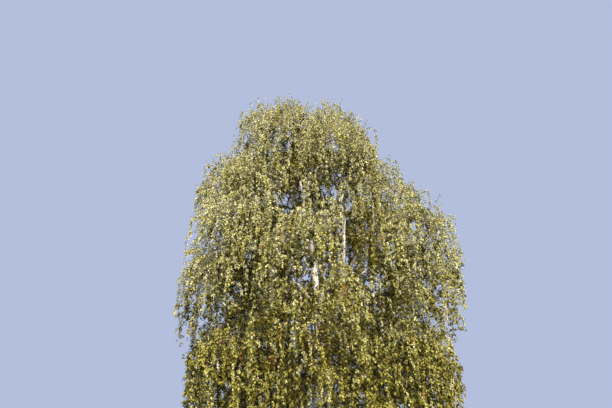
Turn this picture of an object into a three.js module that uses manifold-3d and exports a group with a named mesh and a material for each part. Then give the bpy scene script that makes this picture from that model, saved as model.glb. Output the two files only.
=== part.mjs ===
// A full-grown silver birch of weeping habit. The trunk forks into two upright leaders, each leader and the
// trunk carry arching boughs, and every bough ends in a mass of hanging twigs whose blades each stand for a
// spray of small leaves. Millimetres, +Z up, origin at the centre of the flat cut at ground level. The side
// with the lowest Y is the front, and angles round the tree are counted from +X towards +Y.
import * as THREE from "three";
import { mergeVertices } from "three/addons/utils/BufferGeometryUtils.js";
import Module from "manifold-3d";

const GAP = 0.3; // clearance between solids that touch

// Trunk and leaders
const FORK_HEIGHT = 4400;
const TRUNK_RADIUS = { foot: 225, fork: 178 };
const FLARE = { spread: 120, height: 380, roots: 5, ridge: 42 };
const TRUNK_LEAN = 60;
const LEFT_LEADER = {
  start: new THREE.Vector3(TRUNK_LEAN, 0, FORK_HEIGHT - 20),
  rising: new THREE.Vector3(130, 60, 8600),
  bending: new THREE.Vector3(-820, 380, 12300),
  tip: new THREE.Vector3(-1500, 260, 16300),
  radius: { root: 165, tip: 24 },
};
const RIGHT_LEADER = {
  start: new THREE.Vector3(TRUNK_LEAN - 20, 0, 3700),
  rising: new THREE.Vector3(1700, -380, 6600),
  bending: new THREE.Vector3(1720, -420, 11200),
  tip: new THREE.Vector3(400, -120, 15700),
  radius: { root: 128, tip: 22 },
};

// Crown: each tier is a ring of masses of foliage. Its centre lies shift to the right of the tree's axis, and
// each mass's middle is reach from it. space is half the depth, breadth and height that a mass fills.
const TIERS = [
  { name: "low", count: 7, turn: 9, shift: 100, reach: 4000, middle: 3600, space: [1750, 2300, 2450] },
  { name: "middle", count: 8, turn: 0, shift: 250, reach: 4750, middle: 7400, space: [1750, 2350, 2500] },
  { name: "upper", count: 7, turn: 29, shift: -400, reach: 3800, middle: 10700, space: [1750, 2250, 2400] },
  { name: "high", count: 5, turn: 10, shift: -450, reach: 2400, middle: 13300, space: [1700, 2050, 2250] },
];
const WEAVE = 500; // neighbours in a tier sit by turns this far above and below its middle
const LOWERED = { middle_8: 600 }; // a mass that hangs this far below its tier
const TOP = { drop: 720, space: [1850, 1850, 2000] }; // the mass round each leader's tip
const JITTER = { reach: 260, middle: 200, turn: 5 };

// Boughs
const BOUGH = {
  enters: 0.72, // how far in front of its mass's middle a bough ends, as a share of the mass's depth
  entersAbove: 0.42, // how far above the middle, as a share of its height
  rise: 0.55, // height gained for each unit of reach
  steepest: 600,
  stagger: 520, // boughs of one tier leave their stem at three levels
  arch: 0.3, // where the bough's bend lies along its reach
  thinnest: 20,
  thickening: 0.0098, // radius gained towards the root for each unit of length
  tipRadius: 32,
};
const RIGHT_SIDE = 350; // a mass further right than this hangs on the right leader

// Foliage
const STEM = { over: 0.62, above: 0.15, upright: 0.55, radius: { root: 32, tip: 25 } };
const TWIG = { radius: { root: 20, tip: 14 }, shell: 0.94, lift: 0.3, hang: 1250, fan: 0.74 };
const BLADE = { length: 2000, width: 1150, thickness: 40, widest: 0.38 };
const HANG = { at: [0.45, 0.74, 1], outward: 0.34, sway: 0.3, twist: 1.4 };
const BLADE_SIZES = [1, 0.7]; // the second is tried where the first doesn't fit
const CREST_BLADE = 0.3; // length of a blade on top of a twig's arch, as a share of a hanging one
const BLADES_PER_MASS = 11;
const LEAST_BLADES = 2; // a twig with fewer is left out
const MOST_TWIGS = 24; // twigs tried for each mass
const STRAY = { twig: 1.1, blade: 1.18 }; // how far each may pass the dome, as a share of its size squared
const SPACE_BETWEEN = 30; // least distance of a twig or blade from the next mass's space
const LIMB_CLEARANCE = 6;

// Facets
const SIDES = { trunk: 15, leader: 10, bough: 6, stem: 4, twig: 3 };
const RINGS = { trunk: 10, leader: 10, bough: 5, stem: 3, twig: 2 };

const UP = new THREE.Vector3(0, 0, 1);
const BACK = new THREE.Vector3(0.31, 0.95, 0.05).normalize();

const BARK = { color: 0xcfc6b6, roughness: 0.75, metalness: 0 };
const LEAVES = { color: 0x8c8354, roughness: 0.6, metalness: 0 };

const wasm = await Module();
wasm.setup();

// A repeatable series of numbers from 0 to 1.
function seeded(seed) {
  let state = (Math.imul(seed + 1, 2654435761) ^ 0x9e3779b9) >>> 0;
  return () => {
    state ^= state << 13;
    state ^= state >>> 17;
    state ^= state << 5;
    state >>>= 0;
    return state / 4294967296;
  };
}

// Steps by the two plastic-number ratios, which fill a square evenly however many are taken.
function evenPair(k) {
  return [(0.5 + k * 0.7548776662) % 1, (0.5 + k * 0.5698402910) % 1];
}

function solidOf(geometry) {
  return new wasm.Manifold(
    new wasm.Mesh({
      numProp: 3,
      vertProperties: geometry.getAttribute("position").array,
      triVerts: new Uint32Array(geometry.index.array),
    }),
  );
}

function geometryOf(solid) {
  const mesh = solid.getMesh();
  const geometry = new THREE.BufferGeometry();
  geometry.setAttribute("position", new THREE.BufferAttribute(mesh.vertProperties, 3));
  geometry.setIndex(new THREE.BufferAttribute(mesh.triVerts, 1));
  return geometry;
}

// A closed limb of flat sides along a curve. radiusAt(share, angle) gives its radius, and the first corner of
// each ring points towards reference.
function limb(curve, radiusAt, sides, rings, reference) {
  const corners = [];
  for (let ring = 0; ring <= rings; ring++) {
    const share = ring / rings;
    const along = curve.getTangent(share);
    const across = reference.clone().addScaledVector(along, -reference.dot(along)).normalize();
    const third = along.clone().cross(across);
    for (let side = 0; side < sides; side++) {
      const angle = (2 * Math.PI * side) / sides;
      const radius = radiusAt(share, angle);
      const place = curve.getPoint(share);
      place.addScaledVector(across, Math.cos(angle) * radius);
      place.addScaledVector(third, Math.sin(angle) * radius);
      corners.push(place);
    }
  }
  const faces = [];
  for (let ring = 0; ring < rings; ring++) {
    for (let side = 0; side < sides; side++) {
      const here = ring * sides + side;
      const next = ring * sides + ((side + 1) % sides);
      faces.push(here, next, next + sides, here, next + sides, here + sides);
    }
  }
  const last = rings * sides;
  for (let side = 1; side < sides - 1; side++) {
    faces.push(0, side + 1, side);
    faces.push(last, last + side, last + side + 1);
  }
  return solidOf(new THREE.BufferGeometry().setFromPoints(corners).setIndex(faces));
}

function taper(radius, extra = 0) {
  return (share) => radius.root + (radius.tip - radius.root) * share + extra;
}

// The trunk: a flat foot, root ridges that die out upwards, and an even taper to the fork.
function trunkCurve() {
  return new THREE.CubicBezierCurve3(
    new THREE.Vector3(0, 0, 0),
    new THREE.Vector3(0, 0, FORK_HEIGHT / 3),
    new THREE.Vector3(TRUNK_LEAN, 0, (2 * FORK_HEIGHT) / 3),
    new THREE.Vector3(TRUNK_LEAN, 0, FORK_HEIGHT),
  );
}

function trunkRadius(extra) {
  return (share, angle) => {
    const height = share * FORK_HEIGHT;
    const flare = Math.exp(-height / FLARE.height);
    const ridge = FLARE.ridge * Math.cos(FLARE.roots * angle);
    const plain = TRUNK_RADIUS.foot + (TRUNK_RADIUS.fork - TRUNK_RADIUS.foot) * share;
    return plain + flare * (FLARE.spread + ridge) + extra;
  };
}

// Rings lie closer together towards the foot, where the flare bends.
class FootwardCurve extends THREE.Curve {
  constructor(curve) {
    super();
    this.curve = curve;
  }
  getPoint(share) {
    return this.curve.getPoint(share ** 1.7);
  }
  getTangent(share) {
    return this.curve.getTangent(share ** 1.7);
  }
}

function trunk(extra = 0) {
  const radius = trunkRadius(extra);
  return limb(
    new FootwardCurve(trunkCurve()),
    (share, angle) => radius(share ** 1.7, angle),
    SIDES.trunk,
    RINGS.trunk,
    BACK,
  );
}

function leaderCurve({ start, rising, bending, tip }) {
  return new THREE.CubicBezierCurve3(start, rising, bending, tip);
}

function leader(plan, extra = 0) {
  return limb(leaderCurve(plan), taper(plan.radius, extra), SIDES.leader, RINGS.leader, BACK);
}

// Where each mass of foliage sits, worked out from the tiers.
function massPlans() {
  const plans = [];
  TIERS.forEach((tier, level) => {
    for (let i = 0; i < tier.count; i++) {
      const chance = seeded(100 * (level + 1) + i);
      const away = () => 2 * chance() - 1;
      const degrees = tier.turn + (360 * i) / tier.count + JITTER.turn * away();
      const angle = THREE.MathUtils.degToRad(degrees);
      const reach = tier.reach + JITTER.reach * away();
      const outward = new THREE.Vector3(Math.cos(angle), Math.sin(angle), 0);
      const middle = outward.clone().multiplyScalar(reach);
      middle.x += tier.shift;
      middle.z = tier.middle + (i % 2 ? WEAVE : -WEAVE) + JITTER.middle * away();
      const name = `${tier.name}_${i + 1}`;
      middle.z -= LOWERED[name] ?? 0;
      const [deep, wide, tall] = tier.space;
      plans.push({ name, level, i, outward, middle, deep, wide, tall });
    }
  });
  [LEFT_LEADER, RIGHT_LEADER].forEach((leader, i) => {
    const name = i === 0 ? "top_left" : "top_right";
    const middle = leader.tip.clone();
    middle.z -= TOP.drop;
    const outward = new THREE.Vector3(middle.x, 0, 0).normalize();
    const [deep, wide, tall] = TOP.space;
    plans.push({ name, level: TIERS.length, i, outward, middle, deep, wide, tall, leader });
  });
  return plans;
}

function sideways(outward) {
  return new THREE.Vector3(-outward.y, outward.x, 0);
}

// A bough leaves its stem steeply, bends over, and ends just inside its mass.
function boughPlan(mass) {
  const tip = mass.middle.clone().addScaledVector(mass.outward, -BOUGH.enters * mass.deep);
  tip.z += BOUGH.entersAbove * mass.tall;
  const carrier = carrierOf(mass);
  const rough = tip.clone().setZ(0).length() * BOUGH.rise + BOUGH.steepest;
  const level = tip.z - rough + ((mass.i % 3) - 1) * BOUGH.stagger;
  const start = pointAtHeight(carrier, level);
  const flat = tip.clone().sub(start).setZ(0);
  const bend = start.clone().addScaledVector(flat, BOUGH.arch);
  bend.z = start.z + (tip.z - start.z) * 0.78;
  const length = tip.distanceTo(start);
  return {
    curve: new THREE.QuadraticBezierCurve3(start, bend, tip),
    radius: { root: BOUGH.thinnest + BOUGH.thickening * length, tip: BOUGH.tipRadius },
  };
}

// What a mass's bough grows on.
function carrierOf(mass) {
  if (mass.level === 0) return trunkCurve();
  return leaderCurve(mass.middle.x > RIGHT_SIDE ? RIGHT_LEADER : LEFT_LEADER);
}

// The point of a rising curve at a height.
function pointAtHeight(curve, height) {
  let low = 0;
  let high = 1;
  for (let step = 0; step < 40; step++) {
    const half = (low + high) / 2;
    if (curve.getPoint(half).z < height) low = half;
    else high = half;
  }
  return curve.getPoint((low + high) / 2);
}

function bough(plan, extra = 0) {
  return limb(plan.curve, taper(plan.radius, extra), SIDES.bough, RINGS.bough, UP);
}

// The stem of a mass goes on from its bough's tip, or stands on a leader's, and arches over.
function stemCurve(mass) {
  const start = mass.tip.clone().addScaledVector(mass.direction, GAP);
  const end = mass.middle.clone();
  if (mass.leader) {
    end.z += STEM.upright * mass.tall;
  } else {
    end.addScaledVector(mass.outward, STEM.over * mass.deep);
    end.z += STEM.above * mass.tall;
  }
  const bend = start.clone().addScaledVector(mass.direction, start.distanceTo(end) * 0.5);
  return new THREE.QuadraticBezierCurve3(start, bend, end);
}

// Whether a point is in a mass's own space: inside its dome, and nearer to its middle than to any other's.
function inSpace(point, mass, others, slack) {
  const away = point.clone().sub(mass.middle);
  const deep = away.dot(mass.outward) / mass.deep;
  const wide = away.dot(sideways(mass.outward)) / mass.wide;
  const tall = away.z / mass.tall;
  const dome = deep ** 2 + wide ** 2 + (tall > 0 ? tall ** 2 : tall ** 4);
  if (dome > slack) return false;
  return others.every((other) => {
    const step = other.middle.clone().sub(mass.middle);
    const distance = step.length();
    return away.dot(step) / distance < distance / 2 - SPACE_BETWEEN;
  });
}

// The point of a limb's own middle line, which runs straight from ring to ring.
function middleLine(curve, share, rings) {
  const ring = Math.min(Math.floor(share * rings), rings - 1);
  const from = curve.getPoint(ring / rings);
  return from.lerp(curve.getPoint((ring + 1) / rings), share * rings - ring);
}

// How far a mass's space reaches from its middle in a direction.
function reachOf(mass, direction, others) {
  let inside = 0;
  let outside = mass.deep + mass.wide + mass.tall;
  for (let step = 0; step < 16; step++) {
    const half = (inside + outside) / 2;
    if (inSpace(mass.middle.clone().addScaledVector(direction, half), mass, others, 1)) inside = half;
    else outside = half;
  }
  return inside;
}

// A twig runs from the stem towards the edge of the mass's space, arches over, and hangs down.
function twigCurve(mass, stem, k, others) {
  const [u, v] = evenPair(k);
  const turn = (mass.leader ? 1 : TWIG.fan) * Math.PI * (2 * u - 1);
  const rise = -0.25 + 1.15 * v;
  const flat = Math.sqrt(1 - rise ** 2);
  const direction = mass.outward.clone().multiplyScalar(mass.deep * flat * Math.cos(turn));
  direction.addScaledVector(sideways(mass.outward), mass.wide * flat * Math.sin(turn));
  direction.z = mass.tall * rise;
  direction.normalize();
  const target = mass.middle.clone();
  target.addScaledVector(direction, TWIG.shell * reachOf(mass, direction, others));
  const share = mass.leader ? 0.2 + 0.7 * v : 0.55 + 0.36 * flat * Math.cos(turn);
  const start = middleLine(stem, share, RINGS.stem);
  const bend = start.clone().lerp(target, 0.45);
  bend.z += TWIG.lift * start.distanceTo(target);
  const over = start.clone().lerp(target, 0.97).setZ(target.z + 100);
  const end = target.clone();
  end.z -= TWIG.hang * (0.7 + 0.3 * u);
  return new THREE.CubicBezierCurve3(start, bend, over, end);
}

// A flattened kite with its root sunk in the twig: eight faces.
function blade(root, direction, face, size) {
  const across = direction.clone().cross(face).normalize();
  const outward = across.clone().cross(direction).normalize();
  const made = new THREE.OctahedronGeometry(1);
  made.deleteAttribute("normal");
  made.deleteAttribute("uv");
  const corner = made.getAttribute("position");
  for (let i = 0; i < corner.count; i++) {
    const [x, y, z] = [corner.getX(i), corner.getY(i), corner.getZ(i)].map(Math.round);
    const along = y === 0 ? BLADE.widest : (1 + y) / 2;
    const place = root.clone().addScaledVector(direction, along * BLADE.length * size);
    place.addScaledVector(across, (x * BLADE.width * size) / 2);
    place.addScaledVector(outward, (z * BLADE.thickness) / 2);
    corner.setXYZ(i, place.x, place.y, place.z);
  }
  return mergeVertices(made);
}

function cornersOf(geometry) {
  const corner = geometry.getAttribute("position");
  return Array.from({ length: corner.count }, (_, i) => new THREE.Vector3().fromBufferAttribute(corner, i));
}

function touches(solid, limbs) {
  return limbs.some((one) => solid.intersect(one).volume() > 0);
}

// The blades of one twig: some hang from it, and one stands on the crest of a twig that tops its mass.
function twigBlades(mass, curve, k, chance, fits) {
  const made = [];
  const place = (share, direction, size) => {
    const root = middleLine(curve, share, RINGS.twig);
    const face = root.clone().sub(mass.middle).setZ(200).normalize();
    face.applyAxisAngle(direction, HANG.twist * (2 * chance() - 1));
    root.addScaledVector(direction, -0.35 * taper(TWIG.radius)(share));
    for (const part of BLADE_SIZES) {
      const geometry = blade(root, direction, face, size * part);
      const solid = solidOf(geometry);
      const strays = cornersOf(geometry).some((corner) => !inSpace(corner, mass, fits.others, STRAY.blade));
      if (strays || touches(solid, [...mass.limbs, ...fits.placed, ...made])) continue;
      made.push(solid);
      return;
    }
  };
  for (const share of HANG.at) {
    const out = curve.getPoint(share).sub(mass.middle).setZ(0).normalize();
    const sway = sideways(out).multiplyScalar(HANG.sway * (2 * chance() - 1));
    const direction = out.multiplyScalar(HANG.outward * chance()).add(sway);
    direction.z = -1;
    place(share, direction.normalize(), 0.8 + 0.3 * chance());
  }
  const [, v] = evenPair(k);
  if (v > 0.62) {
    const out = curve.getTangent(0.3).setZ(0).normalize().multiplyScalar(0.5);
    out.z = 1;
    place(0.3, out.normalize(), CREST_BLADE);
  }
  return made;
}

// A mass of foliage: its stem, and the twigs and blades that fit, all fused.
function foliage(mass, others) {
  const stem = stemCurve(mass);
  const chance = seeded(1000 + 37 * mass.level + mass.i);
  const reference = mass.leader ? BACK : UP;
  const pieces = [limb(stem, taper(STEM.radius), SIDES.stem, RINGS.stem, reference)];
  const blades = [];
  for (let k = 0; k < MOST_TWIGS && blades.length < BLADES_PER_MASS; k++) {
    const curve = twigCurve(mass, stem, k, others);
    const within = curve.getPoints(8).every((point) => inSpace(point, mass, others, STRAY.twig));
    const twig = limb(curve, taper(TWIG.radius), SIDES.twig, RINGS.twig, UP);
    if (!within || touches(twig, [...mass.limbs, ...blades])) continue;
    const hung = twigBlades(mass, curve, k, chance, { others, placed: blades.concat(pieces) });
    if (hung.length < LEAST_BLADES) continue;
    pieces.push(twig);
    blades.push(...hung);
  }
  return largest(wasm.Manifold.union(pieces.concat(blades)));
}

// The biggest body of a solid, without any loose scraps.
function largest(solid) {
  return solid.decompose().sort((a, b) => b.volume() - a.volume())[0];
}

function named(name, solid, material) {
  const mesh = new THREE.Mesh(geometryOf(solid), new THREE.MeshStandardMaterial(material));
  mesh.name = name;
  return mesh;
}

// The trunk and both leaders, grown all round by a clearance.
function stems(clearance) {
  return [trunk(clearance), leader(LEFT_LEADER, clearance), leader(RIGHT_LEADER, clearance)];
}

const tree = new THREE.Group();
const masses = massPlans();

tree.add(named("trunk", trunk(), BARK));
const leftSolid = leader(LEFT_LEADER).trimByPlane([0, 0, 1], FORK_HEIGHT + GAP);
tree.add(named("leader_left", leftSolid, BARK));
const rightSolid = leader(RIGHT_LEADER).subtract(trunk(GAP)).subtract(leader(LEFT_LEADER, GAP));
tree.add(named("leader_right", rightSolid, BARK));

const cutters = stems(GAP);
const guards = stems(LIMB_CLEARANCE);
for (const mass of masses) {
  const plan = mass.leader ? null : boughPlan(mass);
  const curve = plan ? plan.curve : leaderCurve(mass.leader);
  mass.tip = curve.getPoint(1);
  mass.direction = curve.getTangent(1);
  if (!plan) continue;
  const solid = cutters.reduce((rest, stem) => rest.subtract(stem), bough(plan));
  tree.add(named(`bough_${mass.name}`, largest(solid), BARK));
  guards.push(bough(plan, LIMB_CLEARANCE));
}

for (const mass of masses) {
  mass.limbs = guards;
  const others = masses.filter((other) => other !== mass);
  tree.add(named(`foliage_${mass.name}`, foliage(mass, others), LEAVES));
}

export default tree;
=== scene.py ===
"""A full-grown weeping silver birch, dressed over its solids: bark on the limbs, and hanging twigs with small
leaves in place of each mass of foliage. Metres, +Z up, the front is the side with the lowest Y."""

import math
from types import SimpleNamespace

import bpy
import numpy as np
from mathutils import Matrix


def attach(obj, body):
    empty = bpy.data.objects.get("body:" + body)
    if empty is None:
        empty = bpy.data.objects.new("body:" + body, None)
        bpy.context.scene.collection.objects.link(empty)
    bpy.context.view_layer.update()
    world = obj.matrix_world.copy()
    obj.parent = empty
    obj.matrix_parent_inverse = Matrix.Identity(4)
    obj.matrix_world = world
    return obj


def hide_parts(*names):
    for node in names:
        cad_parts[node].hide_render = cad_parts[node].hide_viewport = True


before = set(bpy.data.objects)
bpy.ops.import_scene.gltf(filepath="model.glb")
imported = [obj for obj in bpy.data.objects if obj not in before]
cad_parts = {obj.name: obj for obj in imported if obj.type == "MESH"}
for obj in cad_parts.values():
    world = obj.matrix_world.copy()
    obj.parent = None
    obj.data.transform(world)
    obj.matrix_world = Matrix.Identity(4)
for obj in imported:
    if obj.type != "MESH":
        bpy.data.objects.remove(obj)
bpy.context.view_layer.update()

# Sizes, the same as the solids'
GAP = 0.0003
FORK_HEIGHT = 4.4
TRUNK_FOOT, TRUNK_FORK = 0.225, 0.178
FLARE = SimpleNamespace(spread=0.12, height=0.38, roots=5, ridge=0.042)
TRUNK_LEAN = 0.06
LEFT_LEADER = SimpleNamespace(
    name="leader_left",
    handles=((TRUNK_LEAN, 0, 4.38), (0.13, 0.06, 8.6), (-0.82, 0.38, 12.3), (-1.5, 0.26, 16.3)),
    root=0.165,
    tip=0.024,
)
RIGHT_LEADER = SimpleNamespace(
    name="leader_right",
    handles=((TRUNK_LEAN - 0.02, 0, 3.7), (1.7, -0.38, 6.6), (1.72, -0.42, 11.2), (0.4, -0.12, 15.7)),
    root=0.128,
    tip=0.022,
)
TIERS = [
    SimpleNamespace(name=name, count=count, turn=turn, shift=shift, reach=reach, middle=middle, half=half)
    for name, count, turn, shift, reach, middle, half in (
        ("low", 7, 9, 0.1, 4.0, 3.6, (1.75, 2.3, 2.45)),
        ("middle", 8, 0, 0.25, 4.75, 7.4, (1.75, 2.35, 2.5)),
        ("upper", 7, 29, -0.4, 3.8, 10.7, (1.75, 2.25, 2.4)),
        ("high", 5, 10, -0.45, 2.4, 13.3, (1.7, 2.05, 2.25)),
    )
]
WEAVE = 0.5  # every second mass of a tier lies this much higher, and the others this much lower
LOWERED = {"middle_8": 0.6}  # masses that lie lower than their tier's rule puts them
TOP_DROP, TOP_HALF = 0.72, (1.85, 1.85, 2.0)
JITTER = SimpleNamespace(reach=0.26, middle=0.2, turn=5)
BOUGH = SimpleNamespace(
    enters=0.72,
    above=0.42,
    rise=0.55,
    steepest=0.6,
    stagger=0.52,
    arch=0.3,
    bend=0.78,
    thinnest=0.02,
    thickening=0.0098,
    tip=0.032,
)
RIGHT_SIDE = 0.35  # masses with their middle past this X grow on the right leader
STEM = SimpleNamespace(over=0.62, above=0.15, upright=0.55, lead=0.5, top_root=0.023, tip=0.012, rings=3)
TWIG = SimpleNamespace(
    shell=0.94, lift=0.3, hang=1.25, fan=0.74, lowest=-0.25, spread=1.15, bend=0.45, over=0.97, above=0.1
)
SPACE_BETWEEN = 0.03

# The bark's relief, the swollen foot of each bough, and the scars where boughs leave
RELIEF = SimpleNamespace(
    plates=0.022, plates_fade=0.55, trunk_fine=0.0022, leader=0.035, leader_fine=0.0014, bough=0.06
)
COLLAR = SimpleNamespace(swell=0.55, fade=0.22)
SCAR = SimpleNamespace(on_trunk=(0.13, 0.1), on_leader=(0.12, 0.09), along=0.16, fade=0.2, thinnest=0.03)

# Finer growth
TWIGS_PER_MASS = 17
BRANCHLETS = (84, 64, 50, 36, 32)  # finer twigs for each mass, by tier
CROWN = SimpleNamespace(x=0.2, y=0.05, reach=6.5, lowest=0.25)  # no twig grows further out or hangs lower
OVERLAP = 0.35  # how far finer twigs may grow past the plane halfway to the next mass
INWARD = 1.4  # how much deeper than its dome a mass's finer twigs fill it towards the trunk
BRANCHLET_RADIUS = (0.008, 0.003)
BARE = 0.0005  # girth of a line that only carries leaves, along wood that is there already
TWIG_RADIUS = (0.014, 0.0035)
SHOOT_STEP = 0.4  # between side shoots along a twig
SHOOT_LENGTH = (0.3, 0.75)
SHOOT_RADIUS = (0.0045, 0.0022)
STRAND_STEP = 0.4  # between strands along a shoot
STRAND_DROP = (0.35, 1.65)
STRAND_RADIUS = (0.0024, 0.0013)
STRAND_POINTS = 13
RUN = 2  # steps from point to point of a line whose sprays share a tone
KEPT_TONE = 0.35  # chance that a shoot or strand keeps the tone of what it grows on
KEPT_RUN_TONE = 0.45  # chance that a run of sprays keeps the tone of its line
WOOD_POINTS = SimpleNamespace(strand=3, shoot=4, twig=7)  # the most points that the wood of each keeps
TWIG_POINTS = 13  # points of a twig before it is cut
# how far each kind of growth may go past its dome; strands go as far as shoots
SLACK = SimpleNamespace(target=1.03, twig=1.15, branchlet=1.12, shoot=1.08, crest=1.2, top_crest=1.3)
# the spread of the points that branchlets grow to, in halves of the mass, and the cost of growing upwards
TARGETS = SimpleNamespace(span=2.9, start=(1.85, 1.45, 1.85), climb=0.9, nearest=0.3)
SHOOT = SimpleNamespace(
    points=6,
    steep=0.3,
    steep_length=0.7,
    forward=(0.2, 0.9),
    rise=(-0.2, 0.6),
    lift=0.1,
    sag=(0.25, 0.6),
    bare=0.35,
)
CREST = SimpleNamespace(points=5, chance=0.6, lean=(0.15, 0.6), outward=0.5, curve=0.25)
STRAND = SimpleNamespace(turn=1.2, bulge=(0.05, 0.22), sway=0.07, waver=0.02, fall=1.12, shorter=1.2)
HANGS = (1.1, 1.42, 1.35, 1.25, 1.0)  # how much deeper than its dome each tier's strands may hang
CREST_LENGTH = (0.3, 0.7)
LEAF = SimpleNamespace(length=0.074, width=0.058, widest=0.36, fold=0.01)
SPRAY = SimpleNamespace(
    leaves=4, turn=2.4, stray=0.4, dip=(0.45, 1.3), roll=0.8, size=(0.8, 1.15), drop=0.026, stalk=0.014
)
SPRAY_STEP = 0.15  # between sprays of leaves along a twig
SPRAY_SIZES = (0.8, 1.2)  # the smallest and the largest, as a share
SPRAY_LEAN = (0.45, 0.35)  # how far a spray may lean each way, in radians
DARK_TONES, DARK_SIZE = ("shade", "deep"), 1.5  # tones of leaves painted dark as shade deep in the crown and at its foot, and how much larger they are

# the sun: how far its ray moves across and up for each metre towards the front
SUNWARD = (0.404, 0.674)
# gaps towards the sun: x, z, half width and half height at y = 0, how far back they reach, and the share of
# twigs that still cross them
SUNLIT = [
    (1.25, 8.7, 0.17, 1.8, -0.4, 0.15),
    (0.06, 7.3, 0.2, 0.5, -0.1, 0.1),
]
# openings seen from the eye, with the same six values on the trunk's plane
CLEARINGS = [
    (1.38, 9.3, 0.17, 1.6, -0.4, 0.05),
    (0.05, 7.3, 0.18, 0.45, -0.1, 0.05),
    (-0.75, 11.6, 0.2, 0.8, 0.1, 0.05),
    (-1.3, 11.2, 0.3, 0.6, 0.1, 0.2),
    (-1.65, 11.15, 0.35, 0.3, 99, 0.3),
    (1.14, 12.5, 0.3, 0.25, 99, 0.3),
    (0.67, 11.8, 0.22, 0.5, 99, 0.35),
    (1.7, 11.0, 0.2, 0.3, 99, 0.3),
    (2.45, 7.5, 0.22, 0.5, 99, 0.4),
    (-4.2, 5.35, 0.2, 0.5, 99, 0.35),
    (-0.5, 7.2, 0.16, 0.2, 99, 0.2),
]

TONES = ("olive", "moss", "straw", "gold", "sage", "rust", "shade", "deep")
# one tuft that has turned early, by its place on the trunk's plane as seen from the eye
TUFT = SimpleNamespace(x=-1.87, z=3.7, half_width=0.16, half_height=0.26, before=-3.2)
# how the tones are shared out deep inside the crown, at its foot and at its top: the dark tones inside and at
# the foot are painted shade, the pale tones at the top painted sunlight
INNER_SHARE = np.array([0.05, 0.14, 0.0, 0.0, 0.02, 0.0, 0.38, 0.41])
FOOT_SHARE = np.array([0.18, 0.26, 0.03, 0.03, 0.02, 0.01, 0.23, 0.24])
TOP_SHARE = np.array([0.27, 0.12, 0.29, 0.03, 0.27, 0.005, 0.02, 0.0])
OUTER = SimpleNamespace(at_middle=0.78, outward=0.6)  # how far out a point counts, from 0 to 1
FOOT = SimpleNamespace(height=2.6, fade=4.8)  # over this height the foot's tones, painted shade, give way to the top's, painted sunlight
UP = np.array([0.0, 0.0, 1.0])
BACK = np.array([0.31, 0.95, 0.05]) / np.linalg.norm([0.31, 0.95, 0.05])

# The camera, the lights and what is round the tree
EYE = np.array([-0.45, -19.0, 1.6])
EYE_PITCH = math.radians(26)
LENS = 25.0
SKY, UNDER_SKY = (179, 191, 220), (60, 60, 50)
FLOOR = SimpleNamespace(half=400, top=-0.004)  # just under the trunk's flat cut
# name, strength, width in degrees, colour, tilt from straight down and turn
LIGHTS = [
    ("sun", 9.6, 9, (1.0, 0.95, 0.86), 58, 22),
    ("front_fill", 2.1, 60, (1.0, 0.98, 0.95), 84, -12),
    ("back_fill", 2.3, 50, (0.95, 0.97, 1.0), 50, 205),
]


# The rule by which the crown grows


def seeded(seed):
    """A repeatable series of numbers from 0 to 1, the same as the solids'."""
    state = (((seed + 1) * 2654435761) ^ 0x9E3779B9) & 0xFFFFFFFF
    while True:
        state ^= (state << 13) & 0xFFFFFFFF
        state ^= state >> 17
        state ^= (state << 5) & 0xFFFFFFFF
        yield state / 4294967296


def even_pair(k):
    return (0.5 + k * 0.7548776662) % 1, (0.5 + k * 0.5698402910) % 1


def unit(vector):
    return vector / np.linalg.norm(vector)


def sideways(outward):
    return np.array([-outward[1], outward[0], 0.0])


def along_curve(handles, shares):
    """Points at these shares of a Bezier curve."""
    shares = np.atleast_1d(np.asarray(shares, float))[:, None]
    rows = [np.asarray(handle, float) + 0 * shares for handle in handles]
    while len(rows) > 1:
        rows = [a + (b - a) * shares for a, b in zip(rows, rows[1:])]
    return rows[0]


def heading_at(handles, shares):
    """Directions at these shares of a Bezier curve."""
    handles = np.asarray(handles, float)
    slopes = along_curve(handles[1:] - handles[:-1], shares)
    return slopes / np.linalg.norm(slopes, axis=1, keepdims=True)


def trunk_handles():
    low, high = FORK_HEIGHT / 3, 2 * FORK_HEIGHT / 3
    return (0, 0, 0), (0, 0, low), (TRUNK_LEAN, 0, high), (TRUNK_LEAN, 0, FORK_HEIGHT)


class Mass:
    """One mass of foliage: its place, and the dome that it fills up to halfway to its neighbours."""

    def __init__(self, name, level, i, outward, middle, half, leader=None):
        self.name, self.level, self.i = name, level, i
        self.outward, self.middle, self.leader = outward, middle, leader
        self.deep, self.wide, self.tall = half
        self.axes = np.array([outward, sideways(outward), UP])
        self.half = np.array(half)

    def meet(self, others):
        steps = np.array([other.middle - self.middle for other in others])
        self.distances = np.linalg.norm(steps, axis=1)
        self.walls = steps / self.distances[:, None]

    def holds(self, points, slack=1.0):
        """Which of the points lie in this mass's own space."""
        away = points - self.middle
        part = (away @ self.axes.T) / self.half
        hang = HANGS[self.level] if slack > 1 else 1
        upright = np.where(part[..., 2] > 0, part[..., 2] ** 2, (part[..., 2] / hang) ** 4)
        inward = INWARD if slack > 1 else 1
        deep = np.where(part[..., 0] > 0, part[..., 0], part[..., 0] / inward)
        dome = deep**2 + part[..., 1] ** 2 + upright
        past = OVERLAP if slack > 1 else -SPACE_BETWEEN
        own_side = (away @ self.walls.T < self.distances / 2 + past).all(-1)
        return (dome <= slack) & own_side

    def reach(self, direction):
        """How far this mass's space reaches from its middle."""
        inside, outside = 0.0, self.deep + self.wide + self.tall
        for _ in range(16):
            half = (inside + outside) / 2
            if self.holds(self.middle + direction * half):
                inside = half
            else:
                outside = half
        return inside


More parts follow.
